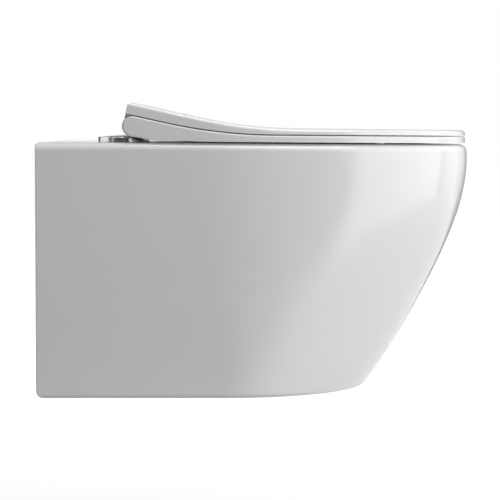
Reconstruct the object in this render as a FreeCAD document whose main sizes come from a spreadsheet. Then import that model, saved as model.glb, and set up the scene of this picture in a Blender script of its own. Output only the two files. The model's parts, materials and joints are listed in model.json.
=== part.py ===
import FreeCAD, Part
import math
import os
import re

import Sketcher

# Wall hung toilet: skirted rimless pan, soft-closing lift-off seat and lid, concealed wall brackets.
# Frame: X across, front towards -Y, Z up. The wall is the plane Y = 0, and the origin is midway
# between the two wall bolts. Sizes are millimetres and degrees.

SIZES = {
    # pan, outside
    "pan_width": (356, "across the straight sides"),
    "pan_projection": (520, "wall to the nose"),
    "deck_height": (75, "bolt line up to the flat rear deck"),
    "underside_drop": (225, "bolt line down to the flat underside"),
    "setback_base": (127.5, "front of the flat underside behind the nose"),
    "straight_rim": (200, "straight part of the side at the rim"),
    "straight_base": (222, "straight part of the side at the underside"),
    "level_low": (75, "first outline level above the underside"),
    "level_mid": (150.5, "second outline level above the underside"),
    "level_high": (226, "third outline level above the underside"),
    "level_nose": (276, "level of the foremost point above the underside"),
    "setback_low": (77.1, "front behind the nose at the first level"),
    "setback_mid": (37.1, "front behind the nose at the second level"),
    "setback_high": (7.6, "front behind the nose at the third level"),
    "setback_rim": (2, "front behind the nose at the rim"),
    "flat_deck": (130, "length of the level rear deck"),
    "rim_fall": (3.5, "front rim below the rear deck"),
    "crest_round": (9, "rounding of the sides into the rim"),
    "back_round": (4, "rounding of the rear top edge"),
    "base_round": (5, "rounding round the underside"),
    "heel_round": (9, "rounding of the rear lower edge"),
    "skirt_wall": (11, "thickness of the skirt"),
    "base_wall": (12, "thickness of the underside"),
    "deck_wall": (15, "thickness of the deck"),
    # bowl
    "mouth_from_wall": (167, "wall to the back of the bowl mouth"),
    "rim_front": (43, "nose to the front of the bowl mouth"),
    "rim_side": (50, "width of the rim at the sides"),
    "bowl_wall": (11, "thickness of the bowl"),
    "bowl_lip": (7, "rounding of the bowl mouth"),
    "shoulder_drop": (55, "deck down to the shoulder of the bowl"),
    "shoulder_short": (8, "how much shorter the shoulder is than the mouth"),
    "shoulder_narrow": (12, "how much narrower the shoulder is than the mouth"),
    "waist_drop": (135, "deck down to the waist of the bowl"),
    "waist_back": (6, "middle of the waist behind the middle of the mouth"),
    "waist_short": (70, "how much shorter the waist is than the mouth"),
    "waist_narrow": (56, "how much narrower the waist is than the mouth"),
    "pool_drop": (195, "deck down to the pool level"),
    "pool_back": (30, "middle of the pool behind the middle of the mouth"),
    "pool_short": (150, "how much shorter the pool is than the mouth"),
    "pool_narrow": (116, "how much narrower the pool is than the mouth"),
    "sump_centre": (256, "wall to the middle of the sump"),
    "sump_length": (82, "sump, front to back"),
    "sump_width": (74, "sump, across"),
    # waterways
    "trap_bore": (54, "passage of the trap"),
    "trap_wall": (10, "thickness of the trap"),
    "trap_bend": (45, "bend radius of the trap on its centre line"),
    "trap_rise_from_wall": (205, "wall to the foot of the rising leg"),
    "weir_from_wall": (150, "wall to the head of the rising leg"),
    "weir_drop": (66, "bolt line down to the head of the rising leg"),
    "outlet_drop": (100, "bolt line down to the waste outlet"),
    "outlet_bore": (90, "inside of the waste spigot"),
    "outlet_outside": (102, "outside of the waste spigot"),
    "outlet_depth": (48, "length of the waste spigot"),
    "outlet_cone": (30, "length of the cone behind the spigot"),
    "inlet_rise": (35, "bolt line up to the flush inlet"),
    "inlet_bore": (55, "inside of the flush inlet"),
    "inlet_depth": (60, "depth of the flush inlet socket"),
    "inlet_wall": (10, "thickness of the flush inlet"),
    "flush_bore": (44, "flush passage into the bowl"),
    "splitter_wall": (4, "thickness of the flush splitter"),
    "splitter_length": (20, "sleeve of the flush splitter"),
    "splitter_gap": (8, "slot between the splitter's sleeve and its face"),
    "splitter_face": (3, "thickness of the splitter's face"),
    "splitter_brim": (2, "brim of the splitter's face past the passage"),
    "splitter_sink": (18, "splitter behind the back of the bowl mouth"),
    "splitter_fit": (0.1, "clearance of the splitter's sleeve in the passage"),
    "seal_wall": (5, "thickness of the inlet seal"),
    "seal_lip": (2, "thickness of the inlet seal at its lip"),
    "seal_length": (16, "inlet seal, front to back"),
    "seal_from_wall": (26, "wall to the inlet seal"),
    # hanging shelves, brackets and their fasteners
    "bolt_spacing": (180, "between the wall bolts"),
    "bolt_hole": (13, "clearance hole for a wall stud"),
    "shelf_rise": (26, "bolt line up to the hanging shelf"),
    "shelf_wall": (13, "thickness of the hanging shelf"),
    "shelf_depth": (78, "wall to the front of the hanging shelf"),
    "bracket_width": (44, "bracket, across"),
    "bracket_drop": (26, "bolt line down to the foot of the bracket"),
    "bracket_reach": (72, "wall to the tip of the bracket"),
    "bracket_wall": (5, "thickness of the bracket"),
    "gusset_wall": (4, "thickness of the bracket's side webs"),
    "gusset_tip": (8, "height of the side webs at the tip of the bracket"),
    "gusset_toe": (11, "depth of the side webs at the foot of the bracket"),
    "pad_wall": (2, "thickness of the rubber pad on the bracket"),
    "clamp_from_wall": (50, "wall to the clamp screw"),
    "clamp_thread": (8, "clamp screw"),
    "clamp_hole": (10, "hole for the clamp screw in the shelf and the pad"),
    "clamp_slack": (1, "clearance of the clamp screw in the bracket, on the diameter"),
    "clamp_length": (34, "clamp screw below its head"),
    "clamp_head": (13, "head of the clamp screw"),
    "clamp_head_height": (8, "height of the head of the clamp screw"),
    "thread_lead": (1, "chamfer at the end of a screw"),
    "clamp_nut": (26, "side of the plate nut"),
    "clamp_nut_height": (6, "thickness of the plate nut"),
    "stud_thread": (12, "wall stud that the nut fits"),
    "stud_nut": (19, "wall nut across the flats"),
    "stud_nut_height": (10, "thickness of the wall nut"),
    "stud_washer": (24, "wall washer"),
    "stud_washer_height": (2.5, "thickness of the wall washer"),
    "access_width": (84, "opening in the underside, across"),
    "access_depth": (74, "opening in the underside, front to back"),
    "access_round": (6, "corner of the opening in the underside"),
    # hinge sets on the deck
    "hinge_spacing": (155, "between the seat fixing holes"),
    "hinge_from_wall": (95, "wall to the seat fixing holes"),
    "hinge_hole": (14, "seat fixing hole"),
    "gasket_size": (46, "rubber gasket under the hinge plate"),
    "gasket_wall": (1, "thickness of the gasket"),
    "plate_size": (48, "hinge plate"),
    "plate_wall": (2.5, "thickness of the hinge plate"),
    "hinge_thread": (6, "seat fixing bolt"),
    "hinge_head": (14, "head of the seat fixing bolt"),
    "hinge_head_height": (2.4, "height of the head of the seat fixing bolt"),
    "head_edge": (0.6, "chamfer of the bolt's head"),
    "hinge_bolt_length": (46, "seat fixing bolt below its head"),
    "bush_flare": (20, "expansion bush below the deck"),
    "bush_length": (20, "expansion bush below the deck, length"),
    "bush_taper": (2, "narrowing of the expansion bush and its nut"),
    "bush_fit": (0.1, "clearance of the expansion bush in its hole"),
    "cone_nut": (18, "expansion nut"),
    "cone_nut_height": (8, "height of the expansion nut"),
    "cover_size": (55, "chrome cover disc"),
    "cover_edge": (5.9, "height of the cover at its edge"),
    "cover_dome": (1.7, "rise of the cover to its middle"),
    "cover_wall": (1.4, "thickness of the cover"),
    "cover_round": (0.8, "rounding of the cover's edge"),
    "post_size": (10, "post that the hinge block lifts off"),
    "post_from_wall": (112, "wall to the post"),
    "post_height": (26, "deck to the top of the post"),
    "post_lead": (1.5, "chamfer at the top of the post"),
    "post_groove": (1.6, "depth of the latch groove"),
    # lift-off hinge blocks
    "pivot_from_wall": (113.5, "wall to the pivot of seat and lid"),
    "pivot_rise": (19, "deck up to the pivot"),
    "block_width": (25, "hinge block, across"),
    "block_radius": (11.5, "barrel of the hinge block"),
    "block_lift": (0.2, "hinge block above the chrome cover"),
    "block_flat": (0.5, "flat on the back of the hinge block"),
    "pin_size": (8, "hinge pin"),
    "pin_length": (28.5, "hinge pin"),
    "pin_seat": (6.5, "hinge pin inside its block"),
    "block_skin": (1.2, "wall left in front of the latch slot"),
    "latch_width": (14.3, "latch plate, across"),
    "latch_wall": (2.5, "thickness of the latch plate"),
    "latch_rise": (3, "underside of the block up to the latch plate"),
    "latch_travel": (1.5, "travel of the release button"),
    "button_height": (6.3, "release button"),
    "button_drop": (0.95, "release button below the latch plate"),
    "button_depth": (2.6, "thickness of the release button"),
    # seat and lid
    "seat_inset": (1, "sides of seat and lid inside the sides of the pan"),
    "seat_setback": (0.4, "front of seat and lid behind the front of the rim"),
    "seat_barrel": (12.2, "radius of the seat's rear edge about the pivot"),
    "seat_gap": (1.6, "rim up to the seat"),
    "seat_bend": (150, "wall to the start of the seat's sweep"),
    "sweep_radius": (620, "radius of the sweep of seat and lid"),
    "wedge_angle": (12.6, "slope of the rear of seat and lid"),
    "seat_heel": (134, "wall to the heel under the seat"),
    "seat_heel_rise": (3, "deck up to the heel under the seat"),
    "seat_toe": (200, "wall to where the seat runs along the rim"),
    "seat_over_end": (17.5, "seat past the bowl mouth at the front and the back"),
    "seat_over_side": (22, "seat past the bowl mouth at the sides"),
    "seat_hole_depth": (25, "reach of the opening's cut above and below the deck"),
    "seat_hole_flare": (3, "how much wider the opening is at its foot, all round"),
    "seat_round": (2.5, "rounding of the seat's edges"),
    "lid_gap": (0.9, "seat up to the lid"),
    "lid_wall": (13.6, "thickness of the lid at the rear"),
    "lid_bend": (184, "wall to the start of the lid's upper sweep"),
    "lid_overhang": (11, "lid behind the pivot"),
    "lid_round": (4.4, "rounding of the lid's edges"),
    "lid_lip_in": (5, "lip under the lid's rear edge inside the lid's sides"),
    "lid_lip_gap": (0.5, "seat's rear edge to the lip of the lid"),
    "ear_radius": (11, "lid ear about the pivot"),
    "ear_width": (41.5, "lid ear, across"),
    "ear_clearance": (5.5, "front of the ears to the seat"),
    "damper_size": (16, "rotary damper"),
    "damper_length": (38, "rotary damper"),
    "sleeve_size": (12, "plain bearing sleeve"),
    "sleeve_length": (22, "plain bearing sleeve"),
    "bumper_size": (12, "rubber bumper"),
    "bumper_sink": (2.5, "bumper inside its recess"),
    "seat_bumper_front": (112.6, "front of the seat to the front seat bumpers"),
    "seat_bumper_front_in": (56, "side of the seat to the front seat bumpers"),
    "seat_bumper_rear": (215, "wall to the rear seat bumpers"),
    "seat_bumper_rear_in": (25, "side of the seat to the rear seat bumpers"),
    "lid_bumper_front": (92.6, "front of the lid to the front lid bumpers"),
    "lid_bumper_front_in": (79, "side of the lid to the front lid bumpers"),
    "lid_bumper_rear": (240, "wall to the rear lid bumpers"),
    "lid_bumper_rear_in": (35, "side of the lid to the rear lid bumpers"),
    # clearances
    "overrun": (5, "how far a cut runs past the piece"),
    "trim_margin": (40, "how far the trimming block runs past the pan"),
    "running_gap": (0.05, "radial clearance of a turning or sliding fit"),
    "loose_gap": (0.3, "clearance between parts that only pass each other"),
    "side_gap": (0.5, "clearance beside a hinge block"),
}

doc = FreeCAD.newDocument("wall_hung_toilet")
sheet = doc.addObject("Spreadsheet::Sheet", "dims")
for row, (alias, (size, meaning)) in enumerate(SIZES.items(), 1):
    sheet.set(f"A{row}", alias)
    sheet.set(f"B{row}", str(size))
    sheet.set(f"C{row}", meaning)
    sheet.setAlias(f"B{row}", alias)
doc.recompute()

ABOUT_X = FreeCAD.Rotation(FreeCAD.Vector(0, 1, 0), 90)
ABOUT_Y = FreeCAD.Rotation(FreeCAD.Vector(1, 0, 0), 90)
UPRIGHT = FreeCAD.Rotation()
nodes = []


# ---------------------------------------------------------------- expressions and helpers


def expr(text):
    """The expression with each size's name turned into its cell in the sheet."""
    return re.sub(r"[a-z_]+", lambda word: f"dims.{word[0]}" if word[0] in SIZES else word[0], text)


def value(text):
    return float(sheet.evalExpression(expr(text)))


def bind(obj, **properties):
    for name, text in properties.items():
        obj.setExpression(name, expr(text))
    return obj


def place(obj, x="0", y="0", z="0", rotation=UPRIGHT):
    obj.Placement = FreeCAD.Placement(FreeCAD.Vector(), rotation)
    obj.setExpression("Placement.Base.x", expr(x))
    obj.setExpression("Placement.Base.y", expr(y))
    obj.setExpression("Placement.Base.z", expr(z))
    return obj


def node(obj, label):
    """Marks a finished piece: its label is the name of its file."""
    obj.Label = label
    nodes.append(obj)
    return obj


def box(name, x, y, z, width, depth, height):
    """A block from its lowest corner."""
    return place(bind(doc.addObject("Part::Box", name), Length=width, Width=depth, Height=height), x, y, z)


def cylinder(name, radius, height, x, y, z, rotation=UPRIGHT):
    """A cylinder that starts at x, y, z and runs up, along +X (ABOUT_X) or along -Y (ABOUT_Y)."""
    return place(bind(doc.addObject("Part::Cylinder", name), Radius=radius, Height=height), x, y, z, rotation)


def ellipse(name, z, centre, length, width, spare="0"):
    """A level ellipse, length in Y and width in X, whichever is longer; centre is its distance from the wall."""
    along, across = f"({length}) / 2 + {spare}", f"({width}) / 2 + {spare}"
    obj = doc.addObject("Part::Ellipse", name)
    bind(obj, MajorRadius=f"max({along}; {across})", MinorRadius=f"min({along}; {across})")
    place(obj, "0", f"-({centre})", z, FreeCAD.Rotation(FreeCAD.Vector(0, 0, 1), 90))
    obj.setExpression("Placement.Rotation.Angle", expr(f"({along}) >= ({across}) ? 90 deg : 0 deg"))
    return obj


def fuse(name, *pieces):
    obj = doc.addObject("Part::MultiFuse", name)
    obj.Shapes = list(pieces)
    return obj


def common(name, *pieces):
    obj = doc.addObject("Part::MultiCommon", name)
    obj.Shapes = list(pieces)
    return obj


def cut(name, base, *tools):
    obj = doc.addObject("Part::Cut", name)
    obj.Base = base
    obj.Tool = tools[0] if len(tools) == 1 else fuse(f"{name}_tools", *tools)
    return obj


def group(name, *pieces):
    """Like pieces that share one node, as separate solids."""
    obj = doc.addObject("Part::Compound", name)
    obj.Links = list(pieces)
    return obj


def mirrored(name, source):
    """The same piece on the other side of the centre plane."""
    obj = doc.addObject("Part::Mirroring", name)
    obj.Source = source
    obj.Normal = FreeCAD.Vector(1, 0, 0)
    return obj


def loft(name, sections):
    obj = doc.addObject("Part::Loft", name)
    obj.Sections = sections
    obj.Solid = True
    return obj


def fillet(name, base, radius_of):
    """Rounds the edges for which radius_of(edge) names a size."""
    doc.recompute()
    chosen = []
    for index, edge in enumerate(base.Shape.Edges, 1):
        size = None if edge.Degenerated else radius_of(edge)
        if size:
            chosen.append((index, value(size), value(size)))
    obj = doc.addObject("Part::Fillet", name)
    obj.Base = base
    obj.Edges = chosen
    return obj


def pin_down(sketch, geometry, point, across, up):
    """Ties a point of a sketch to the sheet."""
    for kind, text, axis in (("DistanceX", across, -2), ("DistanceY", up, -1)):
        if value(text) == 0:
            sketch.addConstraint(Sketcher.Constraint("PointOnObject", geometry, point, axis))
            continue
        index = sketch.addConstraint(Sketcher.Constraint(kind, -1, 1, geometry, point, value(text)))
        sketch.setExpression(f"Constraints[{index}]", expr(text))


def outline(sketch, corners):
    """A closed outline. A corner is (across, up), or (across, up, radius, bulge) after a round side.

    bulge is the angle in degrees that the arc turns, negative when it turns clockwise.
    """
    points = [FreeCAD.Vector(value(corner[0]), value(corner[1]), 0) for corner in corners]
    for index, corner in enumerate(corners):
        start, end = points[index - 1], points[index]
        if len(corner) == 2:
            sketch.addGeometry(Part.LineSegment(start, end), False)
            continue
        turn = math.radians(value(corner[3]))
        chord = end - start
        normal = FreeCAD.Vector(chord.y, -chord.x, 0)
        middle = (start + end) * 0.5 + normal * (0.5 * math.tan(turn / 4))
        sketch.addGeometry(Part.Arc(start, middle, end), False)
    ends = []
    for index, corner in enumerate(corners):
        arc_turns_back = len(corner) == 4 and value(corner[3]) < 0
        ends.append((2, 1) if arc_turns_back else (1, 2))
    for index in range(len(corners)):
        after = (index + 1) % len(corners)
        sketch.addConstraint(Sketcher.Constraint("Coincident", index, ends[index][1], after, ends[after][0]))
        pin_down(sketch, index, ends[index][1], corners[index][0], corners[index][1])
    for index, corner in enumerate(corners):
        if len(corner) == 4:
            place_in_list = sketch.addConstraint(Sketcher.Constraint("Radius", index, value(corner[2])))
            sketch.setExpression(f"Constraints[{place_in_list}]", expr(corner[2]))


def sketch_on(body, name, role):
    sketch = body.newObject("Sketcher::SketchObject", name)
    plane = next(feature for feature in body.Origin.OriginFeatures if feature.Role == role)
    sketch.AttachmentSupport = (plane, [""])
    sketch.MapMode = "FlatFace"
    return sketch


def turned(name, corners, x="0", y="0", z="0", rotation=UPRIGHT):
    """A body turned about its own upright axis from (radius, height) corners."""
    body = doc.addObject("PartDesign::Body", name)
    sketch = sketch_on(body, f"{name}_profile", "XZ_Plane")
    outline(sketch, corners)
    revolution = body.newObject("PartDesign::Revolution", f"{name}_turned")
    revolution.Profile = sketch
    revolution.ReferenceAxis = (sketch, ["V_Axis"])
    revolution.Angle = 360
    sketch.Visibility = False
    return place(body, x, y, z, rotation)


def side_prism(name, corners, width, x="0"):
    """A body with a side view from (y, z) corners, padded evenly to both sides of x."""
    body = doc.addObject("PartDesign::Body", name)
    sketch = sketch_on(body, f"{name}_profile", "YZ_Plane")
    outline(sketch, corners)
    pad = body.newObject("PartDesign::Pad", f"{name}_pad")
    pad.Profile = sketch
    pad.Midplane = True
    bind(pad, Length=width)
    return place(body, x)


def d_sketch(name, z, length, straight, width, back="0"):
    """A level D: a straight back, straight sides and half an ellipse at the front."""
    sketch = doc.addObject("Sketcher::SketchObject", name)
    half = f"({width}) / 2"
    reach, side, across, rear = value(length), value(straight), value(half), value(back)
    deep = reach - side >= across
    nose = FreeCAD.Vector(0, -reach, 0)
    corner = FreeCAD.Vector(across, -side, 0)
    centre = FreeCAD.Vector(0, -side, 0)
    back_left, back_right = FreeCAD.Vector(-across, rear, 0), FreeCAD.Vector(across, rear, 0)
    sketch.addGeometry(Part.LineSegment(back_left, back_right), False)
    sketch.addGeometry(Part.LineSegment(back_right, corner), False)
    sketch.addGeometry(Part.LineSegment(FreeCAD.Vector(-across, -side, 0), back_left), False)
    if deep:
        front = Part.ArcOfEllipse(Part.Ellipse(nose, corner, centre), -math.pi / 2, math.pi / 2)
    else:
        far_side = FreeCAD.Vector(0, reach - 2 * side, 0)
        front = Part.ArcOfEllipse(Part.Ellipse(corner, far_side, centre), math.pi, 2 * math.pi)
    sketch.addGeometry(front, False)
    sketch.exposeInternalGeometry(3)
    long_axis, nose_axis, nose_end = (4, 4, 1) if deep else (4, 5, 2)
    constraint = Sketcher.Constraint
    sketch.addConstraint(
        [
            constraint("Coincident", 0, 2, 1, 1),
            constraint("Coincident", 2, 2, 0, 1),
            constraint("Coincident", 1, 2, 3, 2),
            constraint("Coincident", 2, 1, 3, 1),
            constraint("Vertical", 1),
            constraint("Vertical", 2),
            constraint("Vertical" if deep else "Horizontal", long_axis),
        ]
    )
    ties = [
        ("DistanceX", 1, 2, half),
        ("DistanceX", 2, 1, f"-({half})"),
        ("DistanceY", 1, 2, f"-({straight})"),
        ("DistanceY", 2, 1, f"-({straight})"),
        ("DistanceY", 3, 3, f"-({straight})"),
        ("DistanceY", nose_axis, nose_end, f"-({length})"),
    ]
    if rear:
        ties += [("DistanceY", 0, 1, back), ("DistanceY", 0, 2, back)]
    else:
        sketch.addConstraint([constraint("PointOnObject", 0, 1, -1), constraint("PointOnObject", 0, 2, -1)])
    for kind, geometry, point, text in ties:
        index = sketch.addConstraint(constraint(kind, -1, 1, geometry, point, value(text)))
        sketch.setExpression(f"Constraints[{index}]", expr(text))
    sketch.setExpression("Placement.Base.z", expr(z))
    return sketch


# ---------------------------------------------------------------- shared places

UNDERSIDE = "-underside_drop"
HINGE_X = "hinge_spacing / 2"
HINGE_Y = "-hinge_from_wall"
BOLT_X = "bolt_spacing / 2"
PIVOT_Y = "-pivot_from_wall"
PIVOT_Z = "(deck_height + pivot_rise)"
COVER_TOP = "(deck_height + cover_edge + cover_dome)"
RIM_SLOPE = "atan(rim_fall / (pan_projection - flat_deck))"
WEDGE = "(wedge_angle * 1 deg)"
BOWL_LENGTH = "(pan_projection - rim_front - mouth_from_wall)"
BOWL_WIDTH = "(pan_width - 2 * rim_side)"
BOWL_CENTRE = "(pan_projection / 2 - rim_front / 2 + mouth_from_wall / 2)"
SEAT_WIDTH = "(pan_width - 2 * seat_inset)"
SEAT_FRONT = "(pan_projection - setback_rim - seat_setback)"


def rim_height(from_wall):
    """Height of the rim at a distance from the wall, past the level deck."""
    return f"deck_height - (({from_wall}) - flat_deck) * tan({RIM_SLOPE})"


# ---------------------------------------------------------------- ceramic pan


def outer_sections(name, wall, back, lowest, highest):
    """D outlines from the underside to the rim, each set in by a wall thickness."""
    width = f"pan_width - 2 * ({wall})"
    rows = [
        (lowest, "pan_projection - setback_base", "0"),
        ("level_low", "pan_projection - setback_low", "level_low"),
        ("level_mid", "pan_projection - setback_mid", "level_mid"),
        ("level_high", "pan_projection - setback_high", "level_high"),
        ("level_nose", "pan_projection", "level_nose"),
        (highest, "pan_projection - setback_rim", "level_nose"),
    ]
    sections = []
    for index, (level, length, along) in enumerate(rows):
        straight = f"straight_base + (straight_rim - straight_base) * ({along}) / level_nose"
        height = f"{UNDERSIDE} + {level}"
        sections.append(d_sketch(f"{name}_{index}", height, f"{length} - ({wall})", straight, width, back))
    return sections


def bowl_sections(name, spare, bottom):
    """Ellipses from the mouth of the bowl down to its sump, let out by a wall thickness."""
    rows = [
        ("mouth", "deck_height + overrun", BOWL_CENTRE, BOWL_LENGTH, BOWL_WIDTH),
        ("shoulder", "deck_height - shoulder_drop", BOWL_CENTRE, f"{BOWL_LENGTH} - shoulder_short",
         f"{BOWL_WIDTH} - shoulder_narrow"),
        ("waist", "deck_height - waist_drop", f"{BOWL_CENTRE} - waist_back", f"{BOWL_LENGTH} - waist_short",
         f"{BOWL_WIDTH} - waist_narrow"),
        ("pool", "deck_height - pool_drop", f"{BOWL_CENTRE} - pool_back", f"{BOWL_LENGTH} - pool_short",
         f"{BOWL_WIDTH} - pool_narrow"),
        ("sump", f"{UNDERSIDE} + base_wall - {bottom}", "sump_centre", "sump_length", "sump_width"),
    ]
    return [ellipse(f"{name}_{row[0]}", *row[1:], spare) for row in rows]


def trap_path():
    """Centre line of the trap: into the sump, up the rising leg, over the weir and down to the outlet."""
    floor = f"{UNDERSIDE} + base_wall + trap_bore / 2"
    corners = [
        ("-sump_centre", floor),
        ("-trap_rise_from_wall", floor),
        ("-weir_from_wall", "-weir_drop"),
        ("-(outlet_depth + 0.8 * outlet_cone)", "-outlet_drop"),
    ]
    points = [FreeCAD.Vector(0, value(y), value(z)) for y, z in corners]
    bend = value("trap_bend")
    edges, start = [], points[0]
    for before, corner, after in zip(points, points[1:], points[2:]):
        arriving = (corner - before).normalize()
        leaving = (after - corner).normalize()
        turn = arriving.getAngle(leaving)
        reach = bend * math.tan(turn / 2)
        first, last = corner - arriving * reach, corner + leaving * reach
        inward = (leaving - arriving).normalize()
        centre = corner + inward * (bend / math.cos(turn / 2))
        edges.append(Part.LineSegment(start, first).toShape())
        edges.append(Part.Arc(first, centre - inward * bend, last).toShape())
        start = last
    edges.append(Part.LineSegment(start, points[-1]).toShape())
    path = doc.addObject("Part::Feature", "trap_path")
    path.Shape = Part.Wire(edges)
    return path


def trap_tube(name, path, radius):
    """A tube along the trap's centre line."""
    ring = doc.addObject("Part::Circle", f"{name}_ring")
    bind(ring, Radius=radius)
    place(ring, "0", "-sump_centre", f"{UNDERSIDE} + base_wall + trap_bore / 2", ABOUT_Y)
    sweep = doc.addObject("Part::Sweep", name)
    sweep.Sections = [ring]
    sweep.Spine = (path, [f"Edge{index}" for index in range(1, len(path.Shape.Edges) + 1)])
    sweep.Solid = True
    sweep.Frenet = False
    return sweep


def outlet(name, radius, spare):
    """The waste spigot and the cone that leads into it, as one turned solid along -Y."""
    inner = f"trap_bore / 2 + ({spare})"
    end = "outlet_depth + outlet_cone"
    past = f"{end} + overrun"
    corners = [("0", "-overrun"), (radius, "-overrun"), (radius, "outlet_depth"), (inner, end), (inner, past),
               ("0", past)]
    return turned(name, corners, "0", "0", "-outlet_drop", ABOUT_Y)


def make_pan():
    top = "underside_drop + deck_height + overrun"
    blank = loft("pan_loft", outer_sections("pan_outline", "0", "trim_margin", "0", top))
    behind_wall = box("behind_wall", "-pan_width / 2 - trim_margin", "0", f"{UNDERSIDE} - trim_margin",
                      "pan_width + 2 * trim_margin", "2 * trim_margin",
                      "underside_drop + deck_height + 2 * trim_margin")
    far = "pan_projection + trim_margin"
    trim = side_prism(
        "rim_trim",
        [
            ("2 * trim_margin", "deck_height"),
            ("2 * trim_margin", "deck_height + trim_margin"),
            (f"-({far})", "deck_height + trim_margin"),
            (f"-({far})", rim_height(far)),
            ("-flat_deck", "deck_height"),
        ],
        "pan_width + trim_margin",
    )
    bowl = loft("bowl_inside", bowl_sections("bowl_inside", "0", "0"))
    shaped = cut("pan_shaped", blank, trim, bowl, behind_wall)

    def rounding(edge):
        box_of = edge.BoundBox
        middle = edge.valueAt((edge.FirstParameter + edge.LastParameter) / 2)
        at_back = abs(box_of.YMin) < 0.01 and abs(box_of.YMax) < 0.01
        across_only = box_of.YLength < 0.01 and box_of.ZLength < 0.01
        at_top = box_of.ZMin > value(rim_height("pan_projection")) - 5
        at_base = box_of.ZMax < value(UNDERSIDE) + 0.01
        in_mouth = abs(middle.x) < value(BOWL_WIDTH) / 2 + 2 and box_of.YMax < -value("flat_deck")
        in_mouth = in_mouth and box_of.YMin > -value("pan_projection - rim_front") - 2
        if at_top:
            if at_back:
                return "back_round"
            if across_only:
                return None
            return "bowl_lip" if in_mouth else "crest_round"
        if at_base:
            if at_back:
                return "heel_round"
            return "base_round" if abs(middle.z - value(UNDERSIDE)) < 0.01 and not in_mouth else None
        return None

    rounded = fillet("pan_rounded", shaped, rounding)

    ceiling = "underside_drop + deck_height - deck_wall"
    hollow_outlines = outer_sections("hollow_outline", "skirt_wall", "2 * skirt_wall", "base_wall", ceiling)
    hollow = loft("hollow_loft", hollow_outlines)
    bowl_shell = loft("bowl_shell", bowl_sections("bowl_shell", "bowl_wall", "base_wall / 2"))
    path = trap_path()
    doc.recompute()
    trap_shell = trap_tube("trap_shell", path, "trap_bore / 2 + trap_wall")
    outlet_shell = outlet("outlet_shell", "outlet_outside / 2", "trap_wall")
    inlet_shell = cylinder("inlet_shell", "inlet_bore / 2 + inlet_wall", "mouth_from_wall", "0", "0",
                           "inlet_rise", ABOUT_Y)
    shelves = box("hanging_shelves", "-pan_width / 2 + skirt_wall / 2", "-shelf_depth", "shelf_rise",
                  "pan_width - skirt_wall", "shelf_depth", "shelf_wall")
    void = cut("pan_void", hollow, bowl_shell, trap_shell, outlet_shell, inlet_shell, shelves)

    trap_inside = trap_tube("trap_inside", path, "trap_bore / 2")
    outlet_inside = outlet("outlet_inside", "outlet_bore / 2", "0")
    inlet_inside = cylinder("inlet_inside", "inlet_bore / 2", "inlet_depth + overrun", "0", "overrun", "inlet_rise",
                            ABOUT_Y)
    flush_inside = cylinder("flush_inside", "flush_bore / 2", f"mouth_from_wall + {BOWL_LENGTH} / 4", "0", "0",
                            "inlet_rise", ABOUT_Y)

    def upright_edge(edge):
        return "access_round" if edge.BoundBox.XLength < 0.01 and edge.BoundBox.YLength < 0.01 else None

    holes = []
    for side, sign in (("left", "-"), ("right", "")):
        holes.append(cylinder(f"deck_hole_{side}", "hinge_hole / 2", "deck_wall + 2 * overrun",
                              f"{sign}({HINGE_X})", HINGE_Y, "deck_height - deck_wall - overrun"))
        holes.append(cylinder(f"shelf_hole_{side}", "clamp_hole / 2", "shelf_wall + 2 * overrun",
                              f"{sign}({BOLT_X})", "-clamp_from_wall", "shelf_rise - overrun"))
        access = box(f"access_{side}", f"{sign}({BOLT_X}) - access_width / 2",
                     "-clamp_from_wall - access_depth / 2", f"{UNDERSIDE} - overrun",
                     "access_width", "access_depth", "base_wall + 2 * overrun")
        holes.append(fillet(f"access_rounded_{side}", access, upright_edge))
    pan = cut("pan", rounded, void, trap_inside, outlet_inside, inlet_inside, flush_inside, *holes)
    node(pan, "ceramic_pan")


def make_flush_parts():
    """The splitter that spreads the flush round the bowl, and the rubber ring in the inlet."""
    start = "-(mouth_from_wall - splitter_sink)"
    outside = "flush_bore / 2 - splitter_fit"
    inside = "flush_bore / 2 - splitter_wall"
    face_start = "(splitter_length + splitter_gap)"
    face_end = f"({face_start} + splitter_face)"
    foot, edge = "(flush_bore / 2 + splitter_brim)", "(flush_bore / 2 - 1)"
    sleeve = turned(
        "splitter_sleeve",
        [(inside, "0"), (outside, "0"), (outside, "splitter_length"), (inside, "splitter_length")],
        "0", start, "inlet_rise", ABOUT_Y,
    )
    face = turned(
        "splitter_face",
        [("0", face_start), (foot, face_start), (edge, face_end), ("0", face_end)],
        "0", start, "inlet_rise", ABOUT_Y,
    )
    webs = []
    for name, width, low in (
        ("upper", "splitter_wall", "inlet_rise + flush_bore / 2 - 1.5 * splitter_wall"),
        ("lower", "4 * splitter_wall", "inlet_rise - flush_bore / 2 + splitter_wall / 4"),
    ):
        webs.append(box(f"splitter_web_{name}", f"-({width}) / 2", f"{start} - {face_start} - 1", low, width,
                        "splitter_gap + 4", "splitter_wall"))
    node(fuse("splitter", sleeve, face, *webs), "flush_distributor")

    seat = "inlet_bore / 2"
    seal = turned(
        "inlet_ring",
        [(f"{seat} - seal_wall", "0"), (seat, "0"), (seat, "seal_length - seal_lip"),
         (f"{seat} - seal_lip", "seal_length"), (f"{seat} - seal_wall", "seal_length - 3 * seal_lip")],
        "0", "-seal_from_wall", "inlet_rise", ABOUT_Y,
    )
    node(seal, "inlet_seal")


# ---------------------------------------------------------------- concealed wall brackets


def hexagon(name, flats, height, bore, x, y, z, rotation):
    """A nut: a hexagonal prism with a plain bore at the thread size."""
    prism = doc.addObject("Part::Prism", f"{name}_prism")
    prism.Polygon = 6
    bind(prism, Circumradius=f"({flats}) / sqrt(3)", Height=height)
    place(prism, x, y, z, rotation)
    return cut(name, prism, cylinder(f"{name}_bore", bore, height, x, y, z, rotation))


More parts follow.
